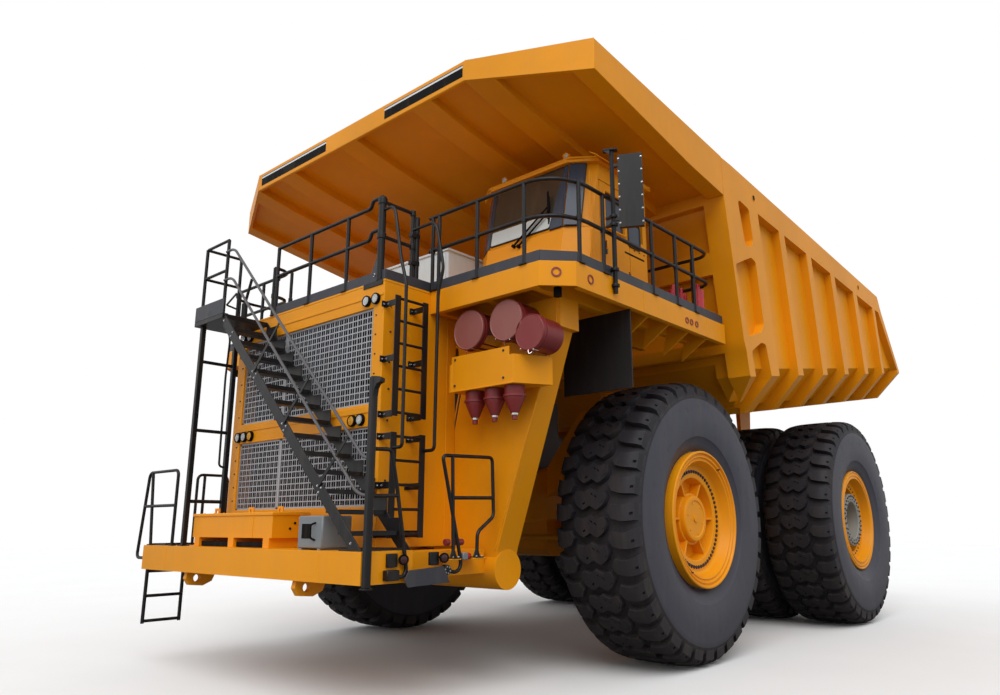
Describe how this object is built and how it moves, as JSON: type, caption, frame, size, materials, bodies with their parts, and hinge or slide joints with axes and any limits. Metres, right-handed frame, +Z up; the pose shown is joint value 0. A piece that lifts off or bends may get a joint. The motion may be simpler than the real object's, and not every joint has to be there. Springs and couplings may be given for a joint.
{
  "type": "mining dump truck",
  "caption": "Rigid-frame mining dump truck with a tipping bed, canopy over the cab, front stair and ladders, steered front wheels and twin rear wheels.",
  "frame": {"origin": "on the ground under the middle of the truck's length and width", "axes": "+Y to the rear along the longest side, +X to the truck's left, +Z up"},
  "size_m": [7.7508, 13.474, 7.16],
  "materials": {
    "yellow_paint": "semi-gloss yellow-orange enamel",
    "black_paint": "satin charcoal",
    "grey_paint": "satin grey",
    "pale_grey_paint": "satin pale grey",
    "maroon_paint": "satin maroon",
    "red_paint": "gloss red",
    "grille_steel": "galvanised mesh",
    "cast_block": "painted casting",
    "bright_rod": "hard chrome",
    "tyre": "matt tread rubber",
    "flap_rubber": "matt",
    "cab_glazing": "tinted",
    "lamp_lens": "clear lens",
    "seat_plastic": "grained"
  },
  "bodies": {
    "chassis": {"frame": "yellow_paint", "front_upright": "yellow_paint", "bumper": "yellow_paint", "battery_box": "yellow_paint", "radiator_housing": "yellow_paint", "deck": "yellow_paint", "cab_shell": "yellow_paint", "air_cleaner_bracket": "yellow_paint", "rear_axle": "yellow_paint", "struts": "yellow_paint", "tanks": "yellow_paint", "control_box": "grey_paint", "control_cabinet": "pale_grey_paint", "grid_box": "pale_grey_paint", "radiator_grille": "grille_steel", "radiator_core": "black_paint", "engine": "cast_block", "handrail_left": "black_paint", "handrail_right": "black_paint", "stair": "black_paint", "stair_landing": "black_paint", "stair_handrails": "black_paint", "ladders": "black_paint", "grab_rails": "black_paint", "post": "black_paint", "mirrors": "black_paint", "mud_flaps": "flap_rubber", "lamps": "lamp_lens", "cab_glass": "cab_glazing", "cab_seat": "seat_plastic", "fire_bottles": "red_paint", "air_cleaners": "maroon_paint"},
    "cab_door": {"cab_door": "yellow_paint", "cab_door_glass": "cab_glazing"},
    "bed": {"bed_shell": "yellow_paint", "bed_canopy": "yellow_paint"},
    "hoist_barrels": {"hoist_barrels": "yellow_paint"},
    "hoist_stages": {"hoist_stages": "yellow_paint"},
    "hoist_rods": {"hoist_rods": "bright_rod"},
    "knuckle_left": {"knuckle_left": "yellow_paint"},
    "knuckle_right": {"knuckle_right": "yellow_paint"},
    "tie_rod": {"tie_rod": "yellow_paint"},
    "wheel_front_left": {"tyre_front_left": "tyre", "rim_front_left": "yellow_paint"},
    "wheel_front_right": {"tyre_front_right": "tyre", "rim_front_right": "yellow_paint"},
    "wheels_rear_left": {"tyres_rear_left": "tyre", "rims_rear_left": "yellow_paint"},
    "wheels_rear_right": {"tyres_rear_right": "tyre", "rims_rear_right": "yellow_paint"}
  },
  "joints": [
    {"name": "bed_tip", "type": "hinge", "parent": "chassis", "child": "bed", "pos_m": [0, 4.668, 3.06], "axis": [-1, 0, 0], "range_deg": [0, 45]},
    {"name": "hoist_lean", "type": "hinge", "parent": "chassis", "child": "hoist_barrels", "pos_m": [0, 0.668, 1.45], "axis": [-1, 0, 0], "range_deg": [0, 5.5]},
    {"name": "hoist_stage_out", "type": "slide", "parent": "hoist_barrels", "child": "hoist_stages", "axis": [0, 0.3545, 0.935], "range_m": [0, 1.229]},
    {"name": "hoist_rod_out", "type": "slide", "parent": "hoist_stages", "child": "hoist_rods", "axis": [0, 0.3545, 0.935], "range_m": [0, 1.229]},
    {"name": "steer_left", "type": "hinge", "parent": "chassis", "child": "knuckle_left", "pos_m": [1.95, -2.082, 1.8], "axis": [0, 0, 1], "range_deg": [-35, 35]},
    {"name": "steer_right", "type": "hinge", "parent": "chassis", "child": "knuckle_right", "pos_m": [-1.95, -2.082, 1.8], "axis": [0, 0, 1], "range_deg": [-35, 35]},
    {"name": "tie_rod_turn", "type": "hinge", "parent": "knuckle_left", "child": "tie_rod", "pos_m": [1.95, -1.382, 1.53], "axis": [0, 0, 1], "range_deg": [-35, 35]},
    {"name": "roll_front_left", "type": "hinge", "parent": "knuckle_left", "child": "wheel_front_left", "pos_m": [2.777, -2.082, 1.8], "axis": [1, 0, 0], "continuous": true},
    {"name": "roll_front_right", "type": "hinge", "parent": "knuckle_right", "child": "wheel_front_right", "pos_m": [-2.777, -2.082, 1.8], "axis": [1, 0, 0], "continuous": true},
    {"name": "roll_rear_left", "type": "hinge", "parent": "chassis", "child": "wheels_rear_left", "pos_m": [2.393, 3.408, 1.8], "axis": [1, 0, 0], "continuous": true},
    {"name": "roll_rear_right", "type": "hinge", "parent": "chassis", "child": "wheels_rear_right", "pos_m": [-2.393, 3.408, 1.8], "axis": [1, 0, 0], "continuous": true},
    {"name": "open_door", "type": "hinge", "parent": "chassis", "child": "cab_door", "pos_m": [3.076, -3.208, 5.29], "axis": [0, 0, 1], "range_deg": [0, 35]}
  ],
  "couplings": [
    {"joint": "hoist_lean", "follows": "bed_tip", "ratio": 0.1222},
    {"joint": "hoist_stage_out", "follows": "bed_tip", "m_per_rad": 1.5648},
    {"joint": "hoist_rod_out", "follows": "bed_tip", "m_per_rad": 1.5648},
    {"joint": "steer_right", "follows": "steer_left", "ratio": 1},
    {"joint": "tie_rod_turn", "follows": "steer_left", "ratio": -1}
  ]
}
